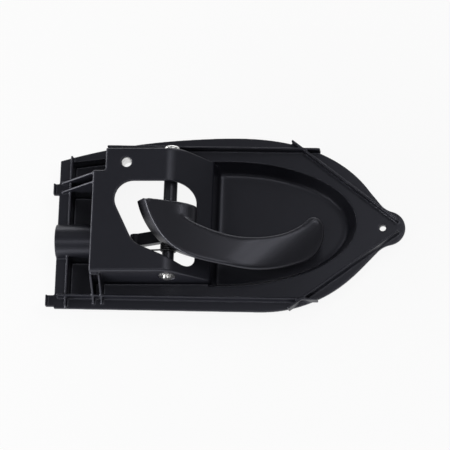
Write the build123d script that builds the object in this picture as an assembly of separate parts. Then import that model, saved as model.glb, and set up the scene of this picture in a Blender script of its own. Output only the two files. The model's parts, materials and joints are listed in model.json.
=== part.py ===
from build123d import *
from math import asin, degrees, sqrt
import os

# Inner door release of a car: a moulded housing with a finger bowl, and a sprung lever on a steel pin.
# Sizes in millimetres. X runs from the cable end to the nose, Y across the door, Z out of the door.
# Z is 0 on the rear plane that bears on the door; X and Y are 0 on the rear of the finger bowl.

# Housing walls and levels
FLANGE_FRONT = 15.5
FLANGE_T = 2.2
WALL = 2.2
BLOCK_RISE = 22.0
BOWL_DEPTH = 13.0
TRAY_DEPTH = 10.0
FACE_Z = FLANGE_FRONT + BLOCK_RISE
BOWL_FLOOR = FLANGE_FRONT - BOWL_DEPTH
TRAY_FLOOR = FLANGE_FRONT - TRAY_DEPTH

# Flange outline: square cable end, hull-shaped sides, round nose
END_X = -100.6
END_TOP_Y = 39.8
END_BOTTOM_Y = -52.2
TOP_SWELL = (-53.0, 50.2)
TOP_CREST = (-15.0, 53.5)
BOTTOM_CREST = (20.0, -54.1)
BOTTOM_CREST_SLOPE = -0.02
HULL_AXIS_Y = -1.2
SHOULDER_X = 36.7
SHOULDER_HALF = 51.8
BOW_X = 64.4
BOW_HALF = 41.0
CHEEK_X = 86.0
CHEEK_HALF = 21.5
CHEEK_SLOPE = -1.13
NOSE_X = 97.0
NOSE_Y = -2.3
NOSE_R = 10.4
STEM_SHARE = 0.72
STEM_X = NOSE_X + STEM_SHARE * NOSE_R
NOSE_BLEND_R = 14.0

# Finger bowl: a half ellipse towards the nose with leaning walls
BOWL_Y = 0.4
BOWL_RIM_A = 78.4
BOWL_RIM_B = 38.8
BOWL_LEAN_A = 6.0
BOWL_LEAN_B = 4.0
BOWL_FLOOR_R = 1.2
BOWL_TUCK = 3.0

# Hinge
HINGE_X = -31.8
HINGE_RISE = 12.0
HINGE_Z = FLANGE_FRONT + HINGE_RISE
PIN_R = 2.6
PIN_EAR_GAP = 0.03
PIN_LEVER_GAP = 0.06
PIN_HEAD_R = 4.6
PIN_HEAD_T = 2.2
PIN_HEAD_ROUND = 1.4
PIN_TAIL = 1.4
EAR_R = 5.2
EAR_TOP_END = 33.5
EAR_BOTTOM_END = -30.5
HEAD_PAD = 0.5
RUN_GAP = 0.3

# Pivot block: box with a rounded knee, a slope that tapers on its far side, and a steep end in the bowl
BLOCK_LEFT = -77.5
BLOCK_TOP = 41.0
BLOCK_BOTTOM = -35.4
BLOCK_DRAFT = 0.077
BLOCK_EDGE_R = 1.2
NOTCH_X = -70.2
NOTCH_Y = 27.3
KNEE_X = -30.5
KNEE_R = 12.0
BROW_X = -7.3
BROW_RISE = 4.5
BROW_Z = FLANGE_FRONT + BROW_RISE
BROW_EASE = 0.6
BROW_R = WALL + BROW_EASE
SLOPE_FOOT_X = -5.8
TAPER_START_X = -25.0
TAPER_IN = 3.9
REAR_CUT_INSET_LEFT = 4.4
REAR_CUT_INSET_RIGHT = 5.5
REAR_CUT_LEFT = NOTCH_X + REAR_CUT_INSET_LEFT
REAR_CUT_RIGHT = SLOPE_FOOT_X - REAR_CUT_INSET_RIGHT

# D-shaped opening in the face and slope, corners in order with their radii
WINDOW_TOP = 20.4
WINDOW_RIGHT = -16.2
WINDOW_LOW = -33.0
WINDOW_CORNERS = (((-70.4, WINDOW_TOP), 11.0), ((-51.8, -17.6), 12.0),
                  ((WINDOW_RIGHT, WINDOW_LOW), 5.0), ((WINDOW_RIGHT, WINDOW_TOP), 11.5))

# Cable tray at the square end, with an arch for the cable
TRAY_LEFT = -92.7
TRAY_BOTTOM_Y = -44.0
TRAY_TOP_LEFT_Y = 38.7
TRAY_TOP_RIGHT_Y = 41.5
ARCH_Y = -11.0
ARCH_R = 10.3

# Standing ribs and gussets
RIB_T = 1.3
RIB_H = 5.5
END_RIB_X = -93.4
END_RIB_H = 3.5
END_RIB_TOP_Y = 42.0
END_RIB_BOTTOM_Y = -51.8
TOP_RIB = ((-72.0, 47.5), (55.9, 45.4))
TOP_BOW_RIB = ((38.9, 50.8), (103.0, 1.2))
BOTTOM_RIB = ((-98.5, -45.2), (57.0, -47.6))
BOTTOM_BOW_RIB = ((39.6, -53.2), (103.5, -5.2))
GUSSET_T = 1.3
END_GUSSETS_Y = (25.7, 20.1)
END_GUSSET_FOOT_X = -99.5
SIDE_GUSSETS_X = (-76.8, -71.8)
SIDE_GUSSET_FOOT_Y = -49.8
GUSSET_BAR_W = 1.6
GUSSET_TOP_DROP = 0.8

# Locating tabs on the square end: centre y, width, reach
TAB_T = 2.2
TABS = ((21.8, 7.0, 3.4), (-47.5, 7.0, 5.2))
TAB_LIP = 1.6

# Screw places
SLEEVE_X = -57.5
SLEEVE_Y = 32.1
SLEEVE_BORE_R = 2.9
SLEEVE_T = 1.0
SLEEVE_GAP = 0.05
SLEEVE_EASE = 0.15
SLEEVE_SINK = 1.2
SCREW_BOSS_R = 6.9
SCREW_BOSS_L = 11.5
NOSE_HOLE_X = 94.0
NOSE_HOLE_Y = -2.1
NOSE_HOLE_R = 2.0
NOSE_BOSS_R = 5.0
NOSE_BOSS_H = 2.0

# Lever: banana grip, head over the hinge, barrel and cable arm
LEVER_FACE_RISE = 23.6
LEVER_FACE_Z = FLANGE_FRONT + LEVER_FACE_RISE
LEVER_T = 10.4
GRIP_EDGE_R = 1.7
UNDER_EDGE_R = 2.0
TIP_BEND_START = 22.0
TIP_BEND_R = 45.0
UNDER_BEND_START = 14.0
UNDER_BEND_R = 82.0
TIP_END = 60.0
HEAD_LEFT = -45.5
HEAD_TOP_LEFT_Y = 9.7
HEAD_OVERHANG = 1.0
HEAD_RIGHT = WINDOW_RIGHT + HEAD_OVERHANG
HEAD_TOP_RIGHT_Y = 5.8
HEAD_HEEL_Y = -11.0
HEAD_LOW = (-30.0, -13.0)
HEAD_SIDE = (-38.5, -3.0)
HEAD_TUCK_X = 2.2
HEAD_TUCK_Y = 0.3
HEAD_LEAN = 0.73
HEAD_SIDE_SHARE = 0.8
GRIP_SIDE_SHARE = 0.9
GRIP_LOW_SHARE = 0.2
HEAD_EDGE_R = 1.2
HEAD_DROP_START = -29.0
HEAD_DROP = 6.0
HEAD_ROLL_DIRECTION = (0.5, -1.0)
GRIP_START = (-34.0, 4.5)
GRIP_SIDE = (-39.6, -5.4)
GRIP_LOW = (-30.8, -17.0)
GRIP_RIM = ((-14.3, -27.7), (7.7, -33.6), (24.0, -35.0), (39.3, -31.2), (47.5, -28.2), (54.7, -23.3),
            (59.2, -16.4), (60.5, -8.5), (58.2, -2.4), (54.6, -0.9))
GRIP_RIM_LEAN = (0.35, 0.42, 0.42, 0.4, 0.35, 0.3, 0.2, 0.12, 0.1, 0.08)
GRIP_UPPER = ((49.6, -3.2), (43.4, -8.0), (26.6, -13.9), (2.4, -12.2), (-14.0, -6.0))
GRIP_UPPER_LEAN = 0.1
GRIP_UPPER_END = (-1.0, 0.5)
PRISM_ABOVE = 2.6
PRISM_BELOW = 25.0
SLAB_LEFT = -100.0
BARREL_R = 4.1
STUB_R = 3.6
ARM_Y = ARCH_Y
ARM_W = 7.6
BARREL_FOOT = ARM_Y - ARM_W / 2
ARM_T = 5.0
ARM_REACH = 21.0
ARM_DROP = 10.5
ARM_EYE_R = 3.6
ARM_EYE_HOLE_R = 2.0
ARM_SLOT_W = 2.4

# Torsion spring round the stub below the barrel
WIRE_R = 0.5
SPRING_TURNS = 4.5
SPRING_PITCH = 1.15
SPRING_GAP = 0.25
SPRING_R = STUB_R + SPRING_GAP + WIRE_R
SPRING_LEG = 20.0
SPRING_TANG = 4.0
TANG_GAP = 0.25
LEDGE_W = 4.0

# Push-on star retainer
STAR_R = 4.9
STAR_BITE_R = 1.1
STAR_POINTS = 6
STAR_T = 1.0
STAR_SEAT = 0.9
STAR_GAP = 0.02

FAR = 300.0


def flange_outline():
    """Plan of the flange: hull sides on a common axis, blended into a round nose."""
    def hull(x, half, side):
        return (x, HULL_AXIS_Y + side * half)
    end_top = (END_X, END_TOP_Y)
    end_bottom = (END_X, END_BOTTOM_Y)
    stem = (STEM_X, NOSE_Y)
    cheek_top = hull(CHEEK_X, CHEEK_HALF, 1)
    cheek_bottom = hull(CHEEK_X, CHEEK_HALF, -1)
    top = Spline(end_top, TOP_SWELL, TOP_CREST, hull(SHOULDER_X, SHOULDER_HALF, 1),
                 hull(BOW_X, BOW_HALF, 1), cheek_top)
    bottom = Spline(cheek_bottom, hull(BOW_X, BOW_HALF, -1), hull(SHOULDER_X, SHOULDER_HALF, -1), BOTTOM_CREST,
                    tangents=[(-1, CHEEK_SLOPE), (-1, -BOTTOM_CREST_SLOPE)])
    hull_face = make_face([top, Line(cheek_top, stem), Line(stem, cheek_bottom), bottom,
                           Line(BOTTOM_CREST, end_bottom), Line(end_bottom, end_top)])
    outline = hull_face + Pos(NOSE_X, NOSE_Y) * Rot(0, 0, 180) * Circle(NOSE_R)
    centre = Vector(NOSE_X, NOSE_Y)
    corners = [v for v in outline.vertices() if abs((Vector(v.X, v.Y) - centre).length - NOSE_R) < 0.01]
    return fillet(corners, NOSE_BLEND_R)


def bowl_plan(z, grow):
    """Half ellipse of the finger bowl at height z, grown outwards by the wall where asked."""
    share = (FLANGE_FRONT - z) / BOWL_DEPTH
    a = BOWL_RIM_A - BOWL_LEAN_A * share + grow
    b = BOWL_RIM_B - BOWL_LEAN_B * share + grow
    left = SLOPE_FOOT_X - BOWL_TUCK
    low = (0, BOWL_Y - b)
    high = (0, BOWL_Y + b)
    round_end = EllipticalCenterArc((0, BOWL_Y), a, b, start_angle=-90, arc_size=180)
    sides = [Line(high, (left, high[1])), Line((left, high[1]), (left, low[1])), Line((left, low[1]), low)]
    return Pos(0, 0, z) * make_face([round_end] + sides)


def inset_corners(points, inset):
    """Corners of a clockwise outline moved in by an even wall."""
    corners = [Vector(*point) for point in points]
    moved = []
    for i, corner in enumerate(corners):
        before = (corner - corners[i - 1]).normalized()
        after = (corners[(i + 1) % len(corners)] - corner).normalized()
        shift = Vector(before.Y, -before.X) + Vector(after.Y, -after.X)
        moved.append(corner + shift * (inset / (1 + before.dot(after))))
    return moved


def block_side(inset, bottom):
    """Side profile of the block: level face, rounded knee, slope, brow and steep end."""
    low = bottom - inset
    foot_x = BROW_X + (SLOPE_FOOT_X - BROW_X) * (BROW_Z - low) / BROW_Z
    corners = inset_corners(((BLOCK_LEFT, FACE_Z), (KNEE_X, FACE_Z), (BROW_X, BROW_Z), (foot_x, low),
                             (BLOCK_LEFT, low)), inset)
    outline = Polygon(*[(c.X, c.Y) for c in corners], align=None)
    for corner, radius in ((corners[1], KNEE_R), (corners[2], BROW_R)):
        outline = fillet(outline.vertices().sort_by_distance(corner)[0], radius - inset)
    return outline


def block_taper(inset):
    """Room beyond the tapering far side of the slope."""
    start_z = FACE_Z + (BROW_Z - FACE_Z) * (TAPER_START_X - KNEE_X) / (BROW_X - KNEE_X)
    start = Vector(TAPER_START_X, block_side_y(start_z, 1))
    along = Vector(BROW_X - TAPER_START_X, -TAPER_IN).normalized()
    outward = Vector(-along.Y, along.X)
    side = Plane(origin=start - outward * inset, x_dir=along, z_dir=(0, 0, 1))
    return side * Box(FAR, FAR, FAR, align=(Align.CENTER, Align.MIN, Align.CENTER))


def block_form(inset, bottom):
    """Pivot block as side and end profiles in one; inset by the wall it gives the inside."""
    face = FACE_Z - inset
    side = extrude(Plane.XZ * block_side(inset, bottom), amount=FAR / 2, both=True)
    spread = BLOCK_DRAFT * (FACE_Z - bottom)
    rise = BLOCK_DRAFT * inset
    end_face = Polygon((BLOCK_BOTTOM + inset - rise, face), (BLOCK_TOP - inset + rise, face),
                       (BLOCK_TOP - inset + spread, bottom), (BLOCK_BOTTOM + inset - spread, bottom),
                       align=None)
    end = extrude(Plane.YZ * end_face, amount=FAR / 2, both=True)
    notch = Pos(NOTCH_X + inset, NOTCH_Y - inset, bottom) * Box(
        FAR, FAR, FAR, align=(Align.MAX, Align.MIN, Align.MIN))
    return (side & end) - notch


def block_rim_edges(block):
    """Edges round the block's face and down the two sides of its slope, without the smooth bend lines."""
    edges = []
    for edge in block.edges():
        middle = edge.center()
        along = edge.tangent_at(0.5)
        bend_line = abs(along.Y) > 0.9 and middle.X > NOTCH_X + WALL
        upright = abs(along.Z) > 0.9
        if not bend_line and not upright and middle.Z > BROW_Z:
            edges.append(edge)
    return edges


def window():
    """D-shaped opening, as a prism through the face and the upper slope."""
    plan = Polygon(*[corner for corner, radius in WINDOW_CORNERS], align=None)
    for corner, radius in WINDOW_CORNERS:
        vertex = plan.vertices().sort_by_distance(corner)[0]
        plan = fillet(vertex, radius)
    return extrude(Pos(0, 0, FLANGE_FRONT) * plan, amount=FAR)


def rib(ends, height):
    """Standing rib on the flange along a straight line."""
    start = Vector(*ends[0])
    end = Vector(*ends[1])
    run = end - start
    middle = (start + end) * 0.5
    sunk = FLANGE_T / 2
    angle = Vector(1, 0, 0).get_signed_angle(run, Vector(0, 0, 1))
    bar = Box(run.length, RIB_T, height + sunk, align=(Align.CENTER, Align.CENTER, Align.MIN))
    return Pos(middle.X, middle.Y, FLANGE_FRONT - sunk) * Rot(0, 0, angle) * bar


def round_y(radius, y_low, y_high):
    """Round bar on the hinge axis."""
    bar = Cylinder(radius, y_high - y_low, align=(Align.CENTER, Align.CENTER, Align.MIN))
    return Pos(HINGE_X, y_low, HINGE_Z) * Rot(-90, 0, 0) * bar


def round_z(x, y, radius, z_low, z_high):
    """Upright round bar."""
    return Pos(x, y, z_low) * Cylinder(radius, z_high - z_low, align=(Align.CENTER, Align.CENTER, Align.MIN))


def block_side_y(z, side):
    """Outer y of the block's top (1) or bottom (-1) wall at height z."""
    edge = BLOCK_TOP if side > 0 else BLOCK_BOTTOM
    return edge + side * BLOCK_DRAFT * (FACE_Z - z)


HEAD_SEAT_Y = block_side_y(HINGE_Z, 1) + HEAD_PAD
STAR_SEAT_Y = block_side_y(HINGE_Z, -1) + STAR_SEAT


def tray_plan():
    """Plan of the tray's hollow, round two sides of the block."""
    return Polygon((TRAY_LEFT, TRAY_BOTTOM_Y), (BLOCK_LEFT, TRAY_BOTTOM_Y), (BLOCK_LEFT, NOTCH_Y),
                   (NOTCH_X, NOTCH_Y), (NOTCH_X, TRAY_TOP_RIGHT_Y), (TRAY_LEFT, TRAY_TOP_LEFT_Y), align=None)


def tray_outer():
    """Tray under the cable end, as a solid."""
    plan = offset(tray_plan(), amount=WALL, kind=Kind.INTERSECTION)
    return extrude(Pos(0, 0, TRAY_FLOOR - WALL) * plan, amount=TRAY_DEPTH + WALL - FLANGE_T / 2)


def tray_pocket():
    """Hollow of the tray, open to the front."""
    return extrude(Pos(0, 0, TRAY_FLOOR) * tray_plan(), amount=FAR)


def arch(radius, x_low, x_high):
    """Half-round tunnel along X with straight sides down past the tray."""
    bottom = TRAY_FLOOR - WALL
    knee = FLANGE_FRONT - bottom
    crown = CenterArc((0, knee), radius, 0, 180)
    sides = Polyline((-radius, knee), (-radius, 0), (radius, 0), (radius, knee))
    section = make_face([crown] + sides.edges())
    return extrude(Pos(x_low, ARCH_Y, bottom) * (Plane.YZ * section), amount=x_high - x_low)


def end_gusset(y):
    """Triangular gusset from the block's left wall down to the end strip."""
    top = FACE_Z - GUSSET_TOP_DROP
    root = BLOCK_LEFT + WALL / 2
    sunk = TRAY_FLOOR - WALL / 2
    foot = FLANGE_FRONT - FLANGE_T / 2
    web = Polygon((root, top), (BLOCK_LEFT, top), (END_GUSSET_FOOT_X, FLANGE_FRONT), (END_GUSSET_FOOT_X, foot),
                  (TRAY_LEFT, foot), (TRAY_LEFT, sunk), (root, sunk), align=None)
    return extrude(Pos(0, y, 0) * (Plane.XZ * web), amount=GUSSET_T / 2, both=True)


def side_gusset(x):
    """Triangular gusset from the block's lower wall down to the flange."""
    top = FACE_Z - GUSSET_TOP_DROP - BLOCK_EDGE_R
    root = block_side_y(top, -1) + WALL / 2
    foot = FLANGE_FRONT - FLANGE_T / 2
    web = Polygon((root, top), (block_side_y(top, -1), top), (SIDE_GUSSET_FOOT_Y, FLANGE_FRONT),
                  (SIDE_GUSSET_FOOT_Y, foot), (root, foot), align=None)
    return extrude(Pos(x, 0, 0) * (Plane.YZ * web), amount=GUSSET_T / 2, both=True)


def gusset_bar():
    """Small bar that joins the tops of the two side gussets."""
    low_x, high_x = SIDE_GUSSETS_X
    top = FACE_Z - GUSSET_TOP_DROP - BLOCK_EDGE_R
    y = block_side_y(top, -1)
    return Pos(low_x, y, top) * Box(high_x - low_x, 2 * GUSSET_BAR_W, GUSSET_BAR_W,
                                    align=(Align.MIN, Align.CENTER, Align.MAX))


def end_tab(y, width, reach):
    """Locating tab on the square end with a lip along its edge."""
    plate = Pos(END_X + WALL, y, FLANGE_FRONT - TAB_T) * Box(
        reach + WALL, width, TAB_T, align=(Align.MAX, Align.CENTER, Align.MIN))
    lip = Pos(END_X - reach, y, FLANGE_FRONT - TAB_T) * Box(
        TAB_T / 2, width, TAB_T + TAB_LIP, align=(Align.MIN, Align.CENTER, Align.MIN))
    return plate + lip


def shell():
    """Walls of the housing: flange, bowl, tray and hollow pivot block."""
    flange = extrude(Pos(0, 0, FLANGE_FRONT - FLANGE_T) * flange_outline(), amount=FLANGE_T)
    bowl_outer = loft([bowl_plan(0, WALL), bowl_plan(FLANGE_FRONT - FLANGE_T / 2, WALL)], ruled=True)
    block = block_form(0, 0)
    block = fillet(block_rim_edges(block), BLOCK_EDGE_R) - block_taper(0)
    bowl_void = loft([bowl_plan(BOWL_FLOOR, 0), bowl_plan(FLANGE_FRONT, 0)], ruled=True) - block
    bowl_void = fillet(bowl_void.faces().sort_by(Axis.Z)[0].edges(), BOWL_FLOOR_R)
    walls = flange + tray_outer() + bowl_outer - tray_pocket() - bowl_void
    walls = walls + block + arch(ARCH_R, END_X, BLOCK_LEFT + WALL)
    hollow = block_form(WALL, -WALL) - block_taper(WALL)
    walls = walls - hollow - window()
    rear_cut = Pos(REAR_CUT_LEFT, 0, FLANGE_FRONT - FLANGE_T) * Box(
        REAR_CUT_RIGHT - REAR_CUT_LEFT, FAR, FAR, align=(Align.MIN, Align.CENTER, Align.MAX))
    return walls - arch(ARCH_R - WALL, END_X - WALL, BLOCK_LEFT + 2 * WALL) - rear_cut


def bosses():
    """Hinge ears, screw boss and nose boss, before they are drilled."""
    inner_top = block_side_y(HINGE_Z, 1) - WALL / 2
    inner_bottom = block_side_y(HINGE_Z, -1) + WALL / 2
    flange_back = FLANGE_FRONT - FLANGE_T
    return [
        round_y(EAR_R, EAR_TOP_END, inner_top),
        round_y(EAR_R, inner_bottom, EAR_BOTTOM_END),
        round_y(PIN_HEAD_R + WALL / 2, inner_top, HEAD_SEAT_Y),
        round_z(SLEEVE_X, SLEEVE_Y, SCREW_BOSS_R, FACE_Z - SCREW_BOSS_L, FACE_Z - WALL / 2),
        round_z(NOSE_HOLE_X, NOSE_HOLE_Y, NOSE_BOSS_R, flange_back - NOSE_BOSS_H, flange_back + FLANGE_T / 2),
    ]


def housing():
    """The one-piece moulding: walls, standing ribs, gussets, tabs and drilled bosses."""
    body = shell()
    for ends in (TOP_RIB, TOP_BOW_RIB, BOTTOM_RIB, BOTTOM_BOW_RIB):
        body = body + rib(ends, RIB_H)
    arch_edges = (ARCH_Y + ARCH_R - WALL / 2, ARCH_Y - ARCH_R + WALL / 2)
    body = body + rib(((END_RIB_X, END_RIB_TOP_Y), (END_RIB_X, arch_edges[0])), END_RIB_H)
    body = body + rib(((END_RIB_X, arch_edges[1]), (END_RIB_X, END_RIB_BOTTOM_Y)), END_RIB_H)
    for y in END_GUSSETS_Y:
        body = body + end_gusset(y)
    for x in SIDE_GUSSETS_X:
        body = body + side_gusset(x)
    body = body + gusset_bar()
    for y, width, reach in TABS:
        body = body + end_tab(y, width, reach)
    for boss in bosses():
        body = body + boss
    body = body + spring_ledge()
    sleeve_seat = round_z(SLEEVE_X, SLEEVE_Y, SLEEVE_BORE_R + SLEEVE_T + SLEEVE_GAP, 0, FACE_Z - SLEEVE_SINK)
    screw_hole = round_z(SLEEVE_X, SLEEVE_Y, SLEEVE_BORE_R + SLEEVE_EASE, 0, FACE_Z + WALL)
    nose_hole = round_z(NOSE_HOLE_X, NOSE_HOLE_Y, NOSE_HOLE_R, 0, FACE_Z)
    pin_hole = round_y(PIN_R + PIN_EAR_GAP, -FAR, FAR)
    star_recess = round_y(STAR_R + RUN_GAP, -FAR, STAR_SEAT_Y)
    return body - sleeve_seat - screw_hole - nose_hole - pin_hole - star_recess


def top_drop(point):
    """How far the lever's top has bent down at a plan point."""
    run = max(0, (point[0] - point[1]) / sqrt(2) - TIP_BEND_START)
    return TIP_BEND_R - sqrt(TIP_BEND_R ** 2 - run ** 2)


def leaned_rim(depth):
    """Points of the grip's lower side and tip at a depth; the walls lean in under the rim."""
    points = [Vector(*point) for point in GRIP_RIM]
    before = [points[0] - (points[1] - points[0])] + points[:-1]
    after = points[1:] + [points[-1] + (points[-1] - points[-2])]
    rim = []
    for i, (point, lean) in enumerate(zip(GRIP_RIM, GRIP_RIM_LEAN)):
        along = (after[i] - before[i]).normalized()
        inward = Vector(-along.Y, along.X)
        rim.append(points[i] + inward * lean * (depth - top_drop(point)))
    return [(p.X, p.Y) for p in rim]


def grip_plan(z):
    """Banana plan of the lever at height z; its left side leans out as it goes down, the others lean in."""
    depth = LEVER_FACE_Z - z
    lean = HEAD_LEAN * depth
    top_left = (HEAD_LEFT - lean, HEAD_TOP_LEFT_Y)
    side = (GRIP_SIDE[0] - GRIP_SIDE_SHARE * lean, GRIP_SIDE[1])
    low = (GRIP_LOW[0] - GRIP_LOW_SHARE * lean, GRIP_LOW[1])
    lower = Spline(top_left, side, low, *leaned_rim(depth))
    upper_points = [(x, y - GRIP_UPPER_LEAN * depth) for x, y in GRIP_UPPER]
    upper = Spline(lower @ 1, *upper_points, GRIP_START, tangents=[lower % 1, GRIP_UPPER_END])
    return Pos(0, 0, z) * make_face([lower, upper, Line(GRIP_START, top_left)])


def head_plan(z):
    """Plan of the lever's head at height z; its leaning end is tucked just inside the grip's rounded one."""
    lean = HEAD_LEAN * (LEVER_FACE_Z - z)
    top_left = (HEAD_LEFT + HEAD_TUCK_X - lean, HEAD_TOP_LEFT_Y - HEAD_TUCK_Y)
    side = (HEAD_SIDE[0] - HEAD_SIDE_SHARE * lean, HEAD_SIDE[1])
    return Pos(0, 0, z) * Polygon(top_left, side, HEAD_LOW, (HEAD_RIGHT, HEAD_HEEL_Y),
                                  (HEAD_RIGHT, HEAD_TOP_RIGHT_Y), align=None)


def leaning_prism(plan):
    """Prism between the plan's outlines above and below the lever's slab."""
    high = LEVER_FACE_Z + PRISM_ABOVE
    low = LEVER_FACE_Z - PRISM_BELOW
    return loft([plan(low), plan(high)], ruled=True)


def bend_arc(start, top, radius):
    """Arc that leaves the level line at start and bends down to the tip's end."""
    sweep_angle = degrees(asin((TIP_END - start) / radius))
    return CenterArc((start, top - radius), radius, 90, -sweep_angle)


def grip_slab():
    """Curved slab that the grip is cut from: flat over the head, bending down towards the tip."""
    top = LEVER_FACE_Z
    under = LEVER_FACE_Z - LEVER_T
    outer = bend_arc(TIP_BEND_START, top, TIP_BEND_R)
    inner = bend_arc(UNDER_BEND_START, under, UNDER_BEND_R)
    edges = [Line((SLAB_LEFT, under), (SLAB_LEFT, top)), Line((SLAB_LEFT, top), outer @ 0), outer,
             Line(outer @ 1, inner @ 1), inner, Line(inner @ 0, (SLAB_LEFT, under))]
    along_bend = Plane(origin=(0, 0, 0), x_dir=(1, -1, 0), z_dir=(-1, -1, 0))
    return extrude(along_bend * make_face(edges), amount=FAR / 2, both=True)


def head_slab():
    """Slab that the head is cut from: flat on the left, rolling down towards the bowl."""
    top = LEVER_FACE_Z
    under = LEVER_FACE_Z - LEVER_T
    roll = Spline((HEAD_DROP_START, top), (HEAD_RIGHT, top - HEAD_DROP),
                  tangents=[(1, 0), HEAD_ROLL_DIRECTION])
    corners = Polyline((HEAD_RIGHT, top - HEAD_DROP), (HEAD_RIGHT, under), (SLAB_LEFT, under),
                       (SLAB_LEFT, top), (HEAD_DROP_START, top))
    return extrude(Plane.XZ * make_face([roll] + corners.edges()), amount=FAR / 2, both=True)


def rim_edges(solid, side):
    """Edges between the walls and the top (1) or under (-1) faces of a lever part."""
    faces = [face for face in solid.faces() if side * face.normal_at().Z > 0.5]
    edges = []
    for edge in solid.edges():
        owners = [face for face in faces if any(edge.is_same(other) for other in face.edges())]
        if len(owners) == 1:
            edges.append(edge)
    return edges


def cable_arm():
    """Arm below the barrel with an eye for the cable's end."""
    eye_x = HINGE_X - ARM_REACH
    eye_z = HINGE_Z - ARM_DROP
    reach = Vector(-ARM_REACH, -ARM_DROP)
    side = Vector(ARM_DROP, -ARM_REACH).normalized() * (ARM_T / 2)
    root = Vector(HINGE_X, HINGE_Z)
    corners = [root + side, root - side, root + reach - side, root + reach + side]
    web = Plane.XZ * Polygon(*[(c.X, c.Y) for c in corners], align=None)
    arm = Pos(0, ARM_Y, 0) * extrude(web, amount=ARM_W / 2, both=True)
    eye = Pos(eye_x, ARM_Y, eye_z) * Rot(90, 0, 0) * Cylinder(ARM_EYE_R, ARM_W)
    hole = Pos(eye_x, ARM_Y, eye_z) * Rot(90, 0, 0) * Cylinder(ARM_EYE_HOLE_R, 2 * ARM_W)
    slot = Pos(eye_x, ARM_Y, eye_z) * Box(
        2 * ARM_EYE_R, ARM_SLOT_W, ARM_EYE_R, align=(Align.MAX, Align.CENTER, Align.CENTER))
    return arm + eye - hole - slot


def lever():
    """Grip, head, barrel with the spring's stub, and cable arm, bored for the pin."""
    grip = leaning_prism(grip_plan) & grip_slab()
    grip = fillet(rim_edges(grip, 1), GRIP_EDGE_R)
    grip = fillet(rim_edges(grip, -1), UNDER_EDGE_R)
    head = leaning_prism(head_plan) & head_slab()
    far_rim = [edge for edge in rim_edges(head, 1)
               if edge.center().Y > HEAD_TOP_RIGHT_Y and edge.center().Z > FACE_Z]
    head = fillet(far_rim, HEAD_EDGE_R)
    slope_side = Pos(WINDOW_RIGHT - RUN_GAP, 0, 0) * Box(
        FAR, FAR, FAR, align=(Align.MIN, Align.CENTER, Align.CENTER))
    slope_relief = block_form(-RUN_GAP, 0) & slope_side
    spring_pocket = round_y(SPRING_R + WIRE_R + RUN_GAP, EAR_BOTTOM_END, BARREL_FOOT)
    barrel = round_y(BARREL_R, BARREL_FOOT, EAR_TOP_END - RUN_GAP)
    stub = round_y(STUB_R, EAR_BOTTOM_END + RUN_GAP, BARREL_FOOT)
    body = grip + head - slope_relief - spring_pocket + barrel + stub + cable_arm()
    tang_groove = tang(WIRE_R + TANG_GAP, SPRING_TANG + TANG_GAP)
    return body - round_y(PIN_R + PIN_LEVER_GAP, -FAR, FAR) - tang_groove


def spring_line():
    """Centre line of the coil: from under the stub to its top, winding away from the lever."""
    origin = (HINGE_X, BARREL_FOOT - RUN_GAP - WIRE_R, HINGE_Z)
    start = Plane(origin=origin, x_dir=(0, 0, -1), z_dir=(0, -1, 0))
    return start * Helix(SPRING_PITCH, SPRING_PITCH * SPRING_TURNS, SPRING_R)


def rod(start, direction, length, radius):
    """Straight piece of wire with a round start."""
    bar = Cylinder(radius, length, align=(Align.CENTER, Align.CENTER, Align.MIN))
    return Plane(origin=start, z_dir=direction) * bar + Pos(start) * Sphere(radius)


def tang(radius, length):
    """Inner end of the spring, bent along the barrel."""
    return rod(spring_line() @ 0, (0, 1, 0), length, radius)


def return_spring():
    """Torsion spring: coil, tang in the lever's groove and leg on the housing's ledge."""
    line = spring_line()
    section = Plane(origin=line @ 0, z_dir=line % 0) * Circle(WIRE_R)
    coil = sweep(section, path=line, is_frenet=True)
    return coil + tang(WIRE_R, SPRING_TANG) + rod(line @ 1, line % 1, SPRING_LEG, WIRE_R)


def spring_ledge():
    """Ledge inside the block's lower wall that carries the spring's leg."""
    line = spring_line()
    leg_end = line @ 1 + (line % 1) * SPRING_LEG
    top = leg_end.Z - WIRE_R
    wall_y = block_side_y(HINGE_Z, -1) + WALL / 2
    depth = leg_end.Y + 2 * WIRE_R - wall_y
    block = Box(LEDGE_W, depth, LEDGE_W, align=(Align.CENTER, Align.MIN, Align.MAX))
    return Pos(leg_end.X + LEDGE_W / 2, wall_y, top) * block


def hinge_pin():
    """Headed steel pin across the block."""
    shank = round_y(PIN_R, STAR_SEAT_Y - STAR_T - PIN_TAIL, HEAD_SEAT_Y)
    head = round_y(PIN_HEAD_R, HEAD_SEAT_Y, HEAD_SEAT_Y + PIN_HEAD_T)
    outer_edge = head.edges().sort_by(Axis.Y)[-1]
    return shank + fillet(outer_edge, PIN_HEAD_ROUND)


def pin_retainer():
    """Star-shaped push-on washer on the pin's lower end."""
    plan = Circle(STAR_R) - PolarLocations(STAR_R + STAR_BITE_R / 2, STAR_POINTS) * Circle(STAR_BITE_R)
    plan = plan - Circle(PIN_R + STAR_GAP)
    seat = Plane(origin=(HINGE_X, STAR_SEAT_Y, HINGE_Z), x_dir=(1, 0, 0), z_dir=(0, -1, 0))
    return extrude(seat * plan, amount=STAR_T)


def fixing_sleeve():
    """Steel sleeve that takes the load of the fixing screw."""
    outer = round_z(SLEEVE_X, SLEEVE_Y, SLEEVE_BORE_R + SLEEVE_T, FACE_Z - SCREW_BOSS_L, FACE_Z - SLEEVE_SINK)
    return outer - round_z(SLEEVE_X, SLEEVE_Y, SLEEVE_BORE_R, 0, FACE_Z)


NODES = {
    "housing": housing,
    "lever": lever,
    "hinge_pin": hinge_pin,
    "pin_retainer": pin_retainer,
    "return_spring": return_spring,
    "fixing_sleeve": fixing_sleeve,
}

os.makedirs("parts", exist_ok=True)
for name, make in NODES.items():
    export_step(make(), f"parts/{name}.step")
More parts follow.
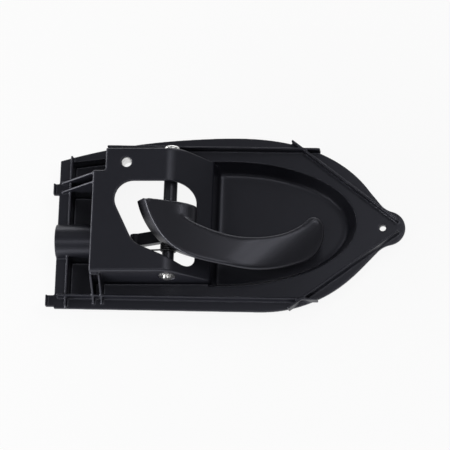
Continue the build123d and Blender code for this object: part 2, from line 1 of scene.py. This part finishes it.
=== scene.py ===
import bpy
import json
import math
from mathutils import Matrix, Vector

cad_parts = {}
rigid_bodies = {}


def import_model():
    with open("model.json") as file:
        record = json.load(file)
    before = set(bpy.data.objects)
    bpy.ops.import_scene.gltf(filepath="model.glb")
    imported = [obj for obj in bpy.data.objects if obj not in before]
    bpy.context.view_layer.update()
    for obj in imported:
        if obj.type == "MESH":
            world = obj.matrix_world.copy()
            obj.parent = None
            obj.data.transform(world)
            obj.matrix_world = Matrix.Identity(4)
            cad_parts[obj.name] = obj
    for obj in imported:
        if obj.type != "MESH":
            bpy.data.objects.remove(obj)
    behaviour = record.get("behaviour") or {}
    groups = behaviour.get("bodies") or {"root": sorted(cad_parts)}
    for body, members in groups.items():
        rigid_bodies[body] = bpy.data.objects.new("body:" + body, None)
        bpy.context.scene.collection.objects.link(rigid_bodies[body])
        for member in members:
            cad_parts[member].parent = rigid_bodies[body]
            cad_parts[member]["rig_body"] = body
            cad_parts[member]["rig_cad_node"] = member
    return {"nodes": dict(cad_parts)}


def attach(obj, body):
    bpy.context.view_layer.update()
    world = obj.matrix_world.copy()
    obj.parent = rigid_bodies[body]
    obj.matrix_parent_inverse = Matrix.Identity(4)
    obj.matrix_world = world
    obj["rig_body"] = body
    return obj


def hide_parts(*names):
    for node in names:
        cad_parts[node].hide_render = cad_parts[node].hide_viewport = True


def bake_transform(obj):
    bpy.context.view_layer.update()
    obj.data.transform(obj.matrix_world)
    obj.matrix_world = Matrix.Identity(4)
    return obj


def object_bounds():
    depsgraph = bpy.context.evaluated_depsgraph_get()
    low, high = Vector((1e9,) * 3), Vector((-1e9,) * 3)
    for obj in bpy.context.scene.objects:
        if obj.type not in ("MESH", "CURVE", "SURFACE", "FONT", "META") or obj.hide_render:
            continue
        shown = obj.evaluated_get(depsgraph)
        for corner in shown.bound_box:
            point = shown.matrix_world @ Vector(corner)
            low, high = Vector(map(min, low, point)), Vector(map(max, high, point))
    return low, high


# Car interior door handle: the dressed model. Lengths in metres, in the frame of the solids.
MM = 0.001

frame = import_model()
cad_low, cad_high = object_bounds()
nodes = frame["nodes"]


# Tools of the bench

def drop_selection():
    """Leaves object mode with nothing selected."""
    if bpy.context.object and bpy.context.object.mode != "OBJECT":
        bpy.ops.object.mode_set(mode="OBJECT")
    bpy.ops.object.select_all(action="DESELECT")


def take(piece):
    """Makes one piece the selected and active one."""
    drop_selection()
    piece.select_set(True)
    bpy.context.view_layer.objects.active = piece


def edit(piece):
    """Opens a piece in edit mode with all of its mesh selected."""
    take(piece)
    bpy.ops.object.mode_set(mode="EDIT")
    bpy.ops.mesh.select_all(action="SELECT")


def apply_modifier(piece, kind, **settings):
    """Adds a modifier with its settings and applies it."""
    take(piece)
    modifier = piece.modifiers.new(kind.title(), kind)
    for key, value in settings.items():
        setattr(modifier, key, value)
    bpy.ops.object.modifier_apply(modifier=modifier.name)


WELD = 0.002 * MM


def merged_copy(node, name):
    """Copy of a solid's mesh with its loose triangles joined, free of the frame."""
    piece = nodes[node].copy()
    piece.data = nodes[node].data.copy()
    piece.name = name
    piece.data.name = name
    piece.parent = None
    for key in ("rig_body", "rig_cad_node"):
        if key in piece:
            del piece[key]
    bpy.context.scene.collection.objects.link(piece)
    take(piece)
    bpy.ops.mesh.customdata_custom_splitnormals_clear()
    edit(piece)
    bpy.ops.mesh.remove_doubles(threshold=WELD)
    bpy.ops.object.mode_set(mode="OBJECT")
    return piece


def coat(piece, material):
    """Gives a new piece its material."""
    piece.data.materials.clear()
    piece.data.materials.append(material)


# Finishes

def new_material(name):
    """Node material with its plain shader; returns the material, its nodes, links and shader."""
    material = bpy.data.materials.new(name)
    material.use_nodes = True
    tree = material.node_tree
    return material, tree.nodes, tree.links, tree.nodes["Principled BSDF"]


def new_group(name, inputs, outputs):
    """Empty shader group with named float inputs (with defaults) and outputs."""
    group = bpy.data.node_groups.new(name, "ShaderNodeTree")
    for label, value in inputs:
        socket = group.interface.new_socket(label, in_out="INPUT", socket_type="NodeSocketFloat")
        socket.default_value = value
    for label in outputs:
        group.interface.new_socket(label, in_out="OUTPUT", socket_type="NodeSocketFloat")
    return group, group.nodes.new("NodeGroupInput"), group.nodes.new("NodeGroupOutput")


def noise(tree, scale, detail, roughness):
    """Noise on the piece's own coordinates, with a scale socket left free to link."""
    place = tree.nodes.new("ShaderNodeTexCoord")
    texture = tree.nodes.new("ShaderNodeTexNoise")
    texture.inputs["Scale"].default_value = scale
    texture.inputs["Detail"].default_value = detail
    texture.inputs["Roughness"].default_value = roughness
    tree.links.new(place.outputs["Object"], texture.inputs["Vector"])
    return texture


def ranged(tree, source, low, high, to_low, to_high):
    """Brings a value from one range to another, clamped."""
    node = tree.nodes.new("ShaderNodeMapRange")
    node.inputs["From Min"].default_value = low
    node.inputs["From Max"].default_value = high
    node.inputs["To Min"].default_value = to_low
    node.inputs["To Max"].default_value = to_high
    tree.links.new(source, node.inputs["Value"])
    return node.outputs["Result"]


GRAIN_SCALE, GRAIN_DETAIL, GRAIN_ROUGHNESS = 2200.0, 3.0, 0.6
CLOUD_SCALE, CLOUD_DETAIL, CLOUD_ROUGHNESS = 45.0, 4.0, 0.55
CLOUD_LOW, CLOUD_HIGH = 0.3, 0.7
SPECKLE_LOW, SPECKLE_HIGH = 0.35, 0.65


def moulded_grain():
    """Fine spark-eroded grain of a moulding, and the faint clouding of its colour."""
    group, entry, leave = new_group("moulded_grain", (("Grain Scale", GRAIN_SCALE),),
                                    ("Height", "Cloud", "Speckle"))
    grain = noise(group, GRAIN_SCALE, GRAIN_DETAIL, GRAIN_ROUGHNESS)
    group.links.new(entry.outputs["Grain Scale"], grain.inputs["Scale"])
    cloud = noise(group, CLOUD_SCALE, CLOUD_DETAIL, CLOUD_ROUGHNESS)
    clouding = ranged(group, cloud.outputs["Fac"], CLOUD_LOW, CLOUD_HIGH, 0.0, 1.0)
    speckle = ranged(group, grain.outputs["Fac"], SPECKLE_LOW, SPECKLE_HIGH, 0.0, 1.0)
    group.links.new(grain.outputs["Fac"], leave.inputs["Height"])
    group.links.new(clouding, leave.inputs["Cloud"])
    group.links.new(speckle, leave.inputs["Speckle"])
    return group


GRAIN = moulded_grain()
GRAIN_STRENGTH = 0.35
COOL_SHEEN = (0.86, 0.87, 1.0, 1)


def moulded_plastic(name, dark, light, gloss, grain_scale, grain_depth):
    """Satin moulded plastic: two near blacks clouded into each other, uneven gloss and a fine grain."""
    material, tree_nodes, links, shader = new_material(name)
    grain = tree_nodes.new("ShaderNodeGroup")
    grain.node_tree = GRAIN
    grain.inputs["Grain Scale"].default_value = grain_scale
    mix = tree_nodes.new("ShaderNodeMix")
    mix.data_type = "RGBA"
    mix.inputs["A"].default_value = (*dark, 1)
    mix.inputs["B"].default_value = (*light, 1)
    links.new(grain.outputs["Cloud"], mix.inputs["Factor"])
    links.new(mix.outputs["Result"], shader.inputs["Base Color"])
    roughness = ranged(material.node_tree, grain.outputs["Speckle"], 0.0, 1.0, *gloss)
    links.new(roughness, shader.inputs["Roughness"])
    shader.inputs["Specular Tint"].default_value = COOL_SHEEN
    bump = tree_nodes.new("ShaderNodeBump")
    bump.inputs["Strength"].default_value = GRAIN_STRENGTH
    bump.inputs["Distance"].default_value = grain_depth
    links.new(grain.outputs["Height"], bump.inputs["Height"])
    links.new(bump.outputs["Normal"], shader.inputs["Normal"])
    return material


RUB_SCALE, RUB_DETAIL, RUB_ROUGHNESS = 400.0, 4.0, 0.6
RUB_LOW, RUB_HIGH = 0.3, 0.7
RUB_BRIGHTER, RUB_DULLER = 0.1, 0.15


def steel(name, colour, roughness):
    """Steel of one colour with rubbed, uneven gloss."""
    material, _, links, shader = new_material(name)
    tree = material.node_tree
    rub = noise(tree, RUB_SCALE, RUB_DETAIL, RUB_ROUGHNESS)
    shader.inputs["Base Color"].default_value = (*colour, 1)
    shader.inputs["Metallic"].default_value = 1.0
    gloss = ranged(tree, rub.outputs["Fac"], RUB_LOW, RUB_HIGH,
                   roughness - RUB_BRIGHTER, roughness + RUB_DULLER)
    links.new(gloss, shader.inputs["Roughness"])
    return material


HOUSING_BLACK = moulded_plastic("housing_plastic", gloss=(0.34, 0.42),
                                dark=(0.0088, 0.0092, 0.0132), light=(0.0108, 0.0112, 0.0156),
                                grain_scale=GRAIN_SCALE, grain_depth=0.03 * MM)
LEVER_BLACK = moulded_plastic("lever_plastic", gloss=(0.30, 0.38),
                              dark=(0.0118, 0.0119, 0.0150), light=(0.0138, 0.0139, 0.0172),
                              grain_scale=2600.0, grain_depth=0.02 * MM)
PLATED_STEEL = steel("plated_steel", colour=(0.78, 0.78, 0.77), roughness=0.3)
SPRING_STEEL = steel("spring_steel", colour=(0.08, 0.08, 0.085), roughness=0.4)

for node_name, finish in (("hinge_pin", PLATED_STEEL), ("pin_retainer", PLATED_STEEL),
                          ("return_spring", SPRING_STEEL), ("fixing_sleeve", PLATED_STEEL)):
    nodes[node_name].data.materials.clear()
    nodes[node_name].data.materials.append(finish)


# Mesh work shared by the two mouldings

SMOOTH_FACTOR = 0.5
SHARE_STEPS = 8


def eased(piece, share, rounds, heights_only=False):
    """Rubs one region of a fine mesh smooth; share gives each point's part in it, from 0 to 1."""
    region = piece.vertex_groups.new(name="eased")
    levels = {}
    for point in piece.data.vertices:
        whole = min(max(share(point.co, point.normal), 0.0), 1.0)
        part = round(whole * SHARE_STEPS) / SHARE_STEPS
        if part > 0:
            levels.setdefault(part, []).append(point.index)
    for part, indices in levels.items():
        region.add(indices, part, "REPLACE")
    apply_modifier(piece, "SMOOTH", factor=SMOOTH_FACTOR, iterations=rounds, vertex_group=region.name,
                   use_x=not heights_only, use_y=not heights_only)
    piece.vertex_groups.clear()


def fine_mesh(piece, voxel, rounds):
    """Even fine mesh of a merged copy, with the small radius that a mould leaves on every edge."""
    apply_modifier(piece, "REMESH", mode="VOXEL", voxel_size=voxel, adaptivity=0.0)
    apply_modifier(piece, "SMOOTH", factor=SMOOTH_FACTOR, iterations=rounds)


def thinned(piece, keep):
    """Thins the flats of a fine mesh and shades it as one smooth skin."""
    apply_modifier(piece, "DECIMATE", ratio=keep)
    take(piece)
    bpy.ops.object.shade_smooth()
    apply_modifier(piece, "WEIGHTED_NORMAL")


# Housing

BOWL_RIM_A, BOWL_RIM_B = 78.4 * MM, 38.8 * MM
BOWL_MIDDLE_Y = 0.4 * MM
BOWL_LEFT = -9.0 * MM
BOWL_UNDER = 1.6 * MM
BOWL_EASE_TOP = 14.0 * MM
BOWL_EASE_FADE = 2.5 * MM
UNDERSIDE_NORMAL_Z = -0.1


def bowl_share(at, normal):
    """1 on the finger bowl's floor and lower wall, fading out below its rim."""
    out = math.hypot(max(at.x, 0) / BOWL_RIM_A, (at.y - BOWL_MIDDLE_Y) / BOWL_RIM_B)
    if at.x < BOWL_LEFT or out > 1.0 or at.z < BOWL_UNDER or normal.z < UNDERSIDE_NORMAL_Z:
        return 0.0
    return (BOWL_EASE_TOP - at.z) / BOWL_EASE_FADE


BLOCK_RIM_LOW = 31.0 * MM
BLOCK_RIM_FADE = 2.5 * MM


def block_rim_share(at, normal):
    """1 on the pivot block's face and its rim, 0 down its walls."""
    return (at.z - BLOCK_RIM_LOW) / BLOCK_RIM_FADE


HOUSING_VOXEL = 0.32 * MM
HOUSING_EDGE_ROUNDS = 10
BOWL_ROUNDS = 250
BLOCK_RIM_ROUNDS = 25
HOUSING_KEEP = 0.127


def housing_shell():
    """The housing, one moulding with soft edges and a bowl whose wall runs into its floor."""
    piece = merged_copy("housing", "housing_shell")
    fine_mesh(piece, HOUSING_VOXEL, HOUSING_EDGE_ROUNDS)
    eased(piece, bowl_share, BOWL_ROUNDS)
    eased(piece, block_rim_share, BLOCK_RIM_ROUNDS)
    thinned(piece, HOUSING_KEEP)
    coat(piece, HOUSING_BLACK)
    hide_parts("housing")
    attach(piece, "housing_body")


# Lever

GRIP_EASE_X = -30.0 * MM
GRIP_EASE_FADE = 24.0 * MM


def grip_share(at, normal):
    """0 at the lever's head and barrel, 1 along the grip."""
    return (at.x - GRIP_EASE_X) / GRIP_EASE_FADE


ARCH_START_X = -32.0 * MM
ARCH_CREST_X = 22.0 * MM
ARCH_LEVEL_X = 41.0 * MM
ARCH_SLOPE = 0.13
ARCH_LEAN = 0.316


def arch_drop(x):
    """How far the arch sinks the grip at x: its slope grows to the crest, eases off, then turns back."""
    rise = max(min(x, ARCH_CREST_X) - ARCH_START_X, 0.0)
    fall = max(x - ARCH_CREST_X, 0.0)
    growth = ARCH_SLOPE / (ARCH_CREST_X - ARCH_START_X)
    easing = ARCH_SLOPE / (ARCH_LEVEL_X - ARCH_CREST_X)
    return growth * rise ** 2 / 2 + ARCH_SLOPE * fall - easing * fall ** 2 / 2


def arched(piece):
    """Bows the grip in one easy curve from its head to its tip, so that its face is never quite flat."""
    for point in piece.data.vertices:
        drop = arch_drop(point.co.x)
        point.co.z -= drop
        point.co.y += ARCH_LEAN * drop


LEVER_VOXEL = 0.45 * MM
LEVER_EDGE_ROUNDS = 6
GRIP_ROUNDS = 14
GRIP_CROWN_ROUNDS = 80
LEVER_KEEP = 0.8


def lever_moulding():
    """The lever, one moulding with soft edges and a hand-worn round to its grip."""
    piece = merged_copy("lever", "lever_moulding")
    fine_mesh(piece, LEVER_VOXEL, LEVER_EDGE_ROUNDS)
    arched(piece)
    eased(piece, grip_share, GRIP_ROUNDS)
    eased(piece, grip_share, GRIP_CROWN_ROUNDS, heights_only=True)
    thinned(piece, LEVER_KEEP)
    coat(piece, LEVER_BLACK)
    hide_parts("lever")
    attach(piece, "lever_body")


# Return spring

HINGE_X, HINGE_Z = -31.8 * MM, 27.5 * MM
COIL_START_Y = -15.6 * MM
COIL_R = 4.35 * MM
COIL_PITCH = 1.15 * MM
COIL_TURNS = 4.5
WIRE_R = 0.5 * MM
WIRE_SIDES = 14
LEG_LENGTH = 20.0 * MM
TANG_LENGTH = 4.0 * MM
TANG_BEND_R = 0.8 * MM
TANG_BEND_STEPS = 6
TURN_STEPS = 40
SPRING_WELD = 0.02 * WIRE_R
SPRING_SHARP_ANGLE = math.radians(50)


def select_where(piece, test):
    """Selects the points of a piece that pass a test, in edit mode."""
    bpy.ops.object.mode_set(mode="OBJECT")
    for edge in piece.data.edges:
        edge.select = False
    for face in piece.data.polygons:
        face.select = False
    for point in piece.data.vertices:
        point.select = test(point.co)
    bpy.ops.object.mode_set(mode="EDIT")


def torsion_spring():
    """Wire wound round the lever's stub: a tang in the lever, the coil, and a leg to the housing's ledge."""
    lead = math.asin(TANG_BEND_R / COIL_R)
    coil_length = COIL_PITCH * COIL_TURNS
    coil_steps = round(COIL_TURNS * TURN_STEPS)
    slant = math.atan2(COIL_PITCH, math.tau * COIL_R)
    leg = Vector((-math.cos(slant), -math.sin(slant), 0)) * LEG_LENGTH
    tang = Vector((0, TANG_LENGTH - TANG_BEND_R, 0))
    ring_slack = 0.1 * WIRE_R
    wire_reach = 1.1 * WIRE_R
    tang_reach = 1.05 * TANG_BEND_R * (1 + WIRE_R / COIL_R)

    def on_last_ring(at):
        return abs(at.x) < ring_slack and at.z > 0 and at.y < wire_reach - coil_length

    def on_first_ring(at):
        return 0 < at.x < tang_reach and at.z < 0 and at.y > -wire_reach

    drop_selection()
    bpy.ops.mesh.primitive_circle_add(vertices=WIRE_SIDES, radius=WIRE_R, rotation=(0, math.pi / 2, 0),
                                      location=(0, 0, -COIL_R))
    piece = bpy.context.object
    piece.name = piece.data.name = "torsion_spring"
    bpy.ops.object.transform_apply(location=True, rotation=True, scale=False)
    edit(piece)
    bpy.ops.transform.rotate(value=lead, orient_axis="Y", center_override=(0, 0, 0))
    bpy.ops.object.mode_set(mode="OBJECT")
    apply_modifier(piece, "SCREW", axis="Y", angle=lead - COIL_TURNS * math.tau, screw_offset=-coil_length,
                   steps=coil_steps, render_steps=coil_steps)
    edit(piece)
    select_where(piece, on_last_ring)
    bpy.ops.mesh.extrude_region_move(TRANSFORM_OT_translate={"value": leg})
    bpy.ops.mesh.edge_face_add()
    select_where(piece, on_first_ring)
    bpy.ops.mesh.spin(steps=TANG_BEND_STEPS, angle=-math.pi / 2, axis=(0, 0, 1),
                      center=(TANG_BEND_R, TANG_BEND_R, -COIL_R))
    bpy.ops.mesh.extrude_region_move(TRANSFORM_OT_translate={"value": tang})
    bpy.ops.mesh.edge_face_add()
    bpy.ops.mesh.select_all(action="SELECT")
    bpy.ops.mesh.remove_doubles(threshold=SPRING_WELD)
    bpy.ops.mesh.normals_make_consistent(inside=False)
    bpy.ops.transform.translate(value=(HINGE_X, COIL_START_Y, HINGE_Z))
    bpy.ops.object.mode_set(mode="OBJECT")
    bpy.ops.object.shade_smooth_by_angle(angle=SPRING_SHARP_ANGLE)
    coat(piece, SPRING_STEEL)
    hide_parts("return_spring")
    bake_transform(piece)


housing_shell()
lever_moulding()
torsion_spring()


# Stage: pale floor, soft light, camera

FLOOR_SIZE = 6.0
FLOOR_GAP = 0.2 * MM
FLOOR_PALE = (0.9, 0.9, 0.9, 1)
FLOOR_ROUGHNESS = 0.9
FLOOR_WHITE_SHARE = 0.9
WHITE = (1, 1, 1, 1)


def maths(tree, operation, first, second):
    """Math node of two linked values; returns its output."""
    node = tree.nodes.new("ShaderNodeMath")
    node.operation = operation
    tree.links.new(first, node.inputs[0])
    tree.links.new(second, node.inputs[1])
    return node.outputs[0]


def floor():
    """Floor that is mostly plain white to what sees it, and still takes a soft shadow."""
    drop_selection()
    bpy.ops.mesh.primitive_plane_add(size=FLOOR_SIZE, location=(0, 0, cad_low.z - FLOOR_GAP))
    plane = bpy.context.object
    plane.name = "floor"
    material, tree_nodes, links, shader = new_material("floor_white")
    tree = material.node_tree
    shader.inputs["Base Color"].default_value = FLOOR_PALE
    shader.inputs["Roughness"].default_value = FLOOR_ROUGHNESS
    emission = tree_nodes.new("ShaderNodeEmission")
    emission.inputs["Color"].default_value = WHITE
    emission.inputs["Strength"].default_value = 1.0
    path = tree_nodes.new("ShaderNodeLightPath").outputs
    seen = maths(tree, "MAXIMUM", path["Is Camera Ray"], path["Is Glossy Ray"])
    seen = maths(tree, "MAXIMUM", seen, path["Is Transmission Ray"])
    share = ranged(tree, seen, 0.0, 1.0, 0.0, FLOOR_WHITE_SHARE)
    mix = tree_nodes.new("ShaderNodeMixShader")
    links.new(share, mix.inputs[0])
    links.new(shader.outputs[0], mix.inputs[1])
    links.new(emission.outputs[0], mix.inputs[2])
    links.new(mix.outputs[0], tree_nodes["Material Output"].inputs["Surface"])
    plane.data.materials.append(material)


DIM_ABOVE = 0.5


def world(horizon, overhead):
    """Studio walls: paler near the floor, dim overhead."""
    scene_world = bpy.data.worlds.new("studio")
    bpy.context.scene.world = scene_world
    scene_world.use_nodes = True
    tree = scene_world.node_tree
    background = tree.nodes["Background"]
    place = tree.nodes.new("ShaderNodeTexCoord")
    split = tree.nodes.new("ShaderNodeSeparateXYZ")
    tree.links.new(place.outputs["Generated"], split.inputs["Vector"])
    strength = ranged(tree, split.outputs["Z"], 0.0, DIM_ABOVE, horizon, overhead)
    tree.links.new(strength, background.inputs["Strength"])
    background.inputs["Color"].default_value = WHITE


def softbox(name, place, facing, size, radiance):
    """Rectangular lamp of a given size and radiance, turned to face a point."""
    light = bpy.data.lights.new(name, "AREA")
    light.shape = "RECTANGLE"
    light.size, light.size_y = size
    light.energy = radiance * math.pi * size[0] * size[1]
    lamp = bpy.data.objects.new(name, light)
    lamp.location = place
    lamp.rotation_mode = "QUATERNION"
    lamp.rotation_quaternion = (Vector(facing) - Vector(place)).to_track_quat("-Z", "Y")
    bpy.context.scene.collection.objects.link(lamp)


PICTURE_RIGHT = (0.993, 0.0353, -0.1116)
PICTURE_UP = (0.0, 0.953, 0.301)
PICTURE_WIDTH = 0.2675
AIM_HEIGHT = 15.5 * MM
AIM_BELOW = 0.41 * MM
CAMERA_DISTANCE = 2.5
CAMERA_REACH = 20.0
SENSOR_WIDTH = 36.0


def camera():
    """Camera at the photograph's view: right and up are the picture's axes in the object's frame."""
    right = Vector(PICTURE_RIGHT).normalized()
    up = Vector(PICTURE_UP).normalized()
    back = right.cross(up)
    aim = Vector((0, 0, AIM_HEIGHT)) - up * AIM_BELOW
    data = bpy.data.cameras.new("camera")
    data.sensor_width = SENSOR_WIDTH
    data.lens = SENSOR_WIDTH * CAMERA_DISTANCE / PICTURE_WIDTH
    data.clip_end = CAMERA_REACH
    eye = bpy.data.objects.new("camera", data)
    turn = Matrix((right, up, back)).transposed().to_4x4()
    eye.matrix_world = Matrix.Translation(aim + back * CAMERA_DISTANCE) @ turn
    bpy.context.scene.collection.objects.link(eye)
    bpy.context.scene.camera = eye


PART = (0, 0, 0)
ABOVE_PART = (0, 0, 0.1)

floor()
world(horizon=0.3, overhead=0.06)
softbox("overhead", place=(0.27, 0.27, 1.0), facing=(0.27, 0.27, 0), size=(0.24, 0.34), radiance=4.6)
softbox("right_panel", place=(0.55, -0.06, 1.0), facing=(0.55, -0.06, 0), size=(0.4, 0.3), radiance=4.2)
softbox("front_panel", place=(-0.1, -0.3, 1.0), facing=(-0.1, -0.3, 0), size=(0.5, 0.2), radiance=3.8)
softbox("back_left_panel", place=(-0.75, 0.75, 1.0), facing=PART, size=(0.45, 0.45), radiance=1.9)
softbox("back_right_panel", place=(0.75, 0.75, 1.0), facing=PART, size=(0.45, 0.45), radiance=1.6)
softbox("back_strip", place=(0.1, 1.0, 0.16), facing=ABOVE_PART, size=(1.4, 0.3), radiance=2.9)
softbox("left_strip", place=(-0.95, -0.31, 0.18), facing=ABOVE_PART, size=(1.6, 0.34), radiance=11.0)
softbox("front_strip", place=(0.1, -1.0, 0.18), facing=ABOVE_PART, size=(1.2, 0.34), radiance=1.8)
camera()
bpy.context.scene.view_settings.view_transform = "Standard"
